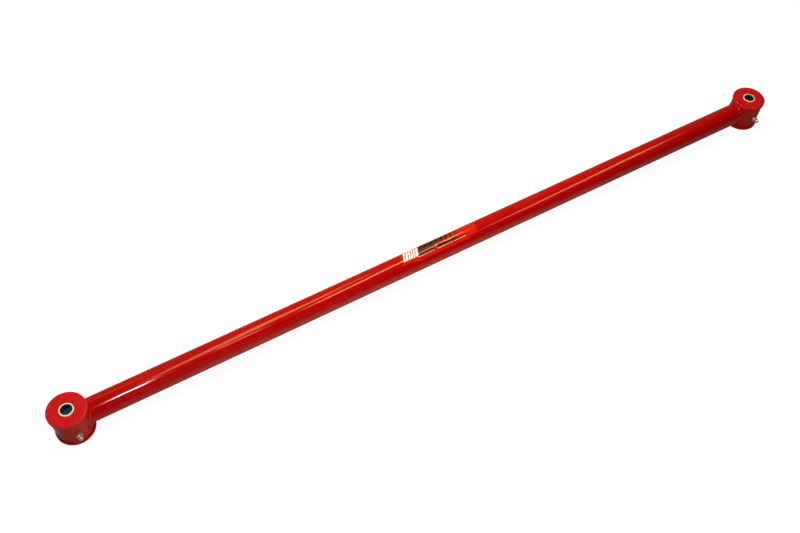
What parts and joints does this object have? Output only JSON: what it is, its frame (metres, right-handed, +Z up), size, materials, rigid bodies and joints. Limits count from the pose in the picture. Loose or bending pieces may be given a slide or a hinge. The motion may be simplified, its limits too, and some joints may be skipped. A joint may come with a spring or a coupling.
{
  "type": "track bar",
  "caption": "Straight tubular lateral link for a live axle, with a flanged, greaseable polyurethane-bushed eye welded across each end.",
  "frame": {"origin": "centre of the left eye's bore, halfway along it", "axes": "+X along the bar to the right eye, +Z up along both eye axes, grease fittings point to -Y"},
  "size_m": [1.1595, 0.0571, 0.0476],
  "materials": {
    "powder_coat_red": "gloss red powder coat, slight orange peel",
    "polyurethane_red": "satin moulded polyurethane",
    "zinc_plated_steel": "yellow zinc plate, turned ends",
    "fitting_steel": "bright zinc plate",
    "ball_steel": "polished ball",
    "spring_steel": "drawn wire",
    "decal_film": "gloss printed film"
  },
  "bodies": {
    "bar": {"bar_tube": "powder_coat_red", "decal_film": "decal_film", "left_eye_shell": "powder_coat_red", "left_weld_bead": "powder_coat_red", "left_upper_bushing": "polyurethane_red", "left_lower_bushing": "polyurethane_red", "left_grease_fitting": "fitting_steel", "left_check_spring": "spring_steel", "right_eye_shell": "powder_coat_red", "right_weld_bead": "powder_coat_red", "right_upper_bushing": "polyurethane_red", "right_lower_bushing": "polyurethane_red", "right_grease_fitting": "fitting_steel", "right_check_spring": "spring_steel"},
    "left_sleeve": {"left_inner_sleeve": "zinc_plated_steel"},
    "left_ball": {"left_check_ball": "ball_steel"},
    "right_sleeve": {"right_inner_sleeve": "zinc_plated_steel"},
    "right_ball": {"right_check_ball": "ball_steel"}
  },
  "joints": [
    {"name": "left_sleeve_turn", "type": "hinge", "parent": "bar", "child": "left_sleeve", "pos_m": [0, 0, 0], "axis": [0, 0, 1], "continuous": true},
    {"name": "left_ball_check", "type": "slide", "parent": "bar", "child": "left_ball", "axis": [0, 1, 0], "range_m": [0, 0.0008], "stiffness_N_per_m": 350, "springref_m": -0.001, "deforming": ["left_check_spring"]},
    {"name": "right_sleeve_turn", "type": "hinge", "parent": "bar", "child": "right_sleeve", "pos_m": [1.11, 0, 0], "axis": [0, 0, 1], "continuous": true},
    {"name": "right_ball_check", "type": "slide", "parent": "bar", "child": "right_ball", "axis": [0, 1, 0], "range_m": [0, 0.0008], "stiffness_N_per_m": 350, "springref_m": -0.001, "deforming": ["right_check_spring"]}
  ]
}
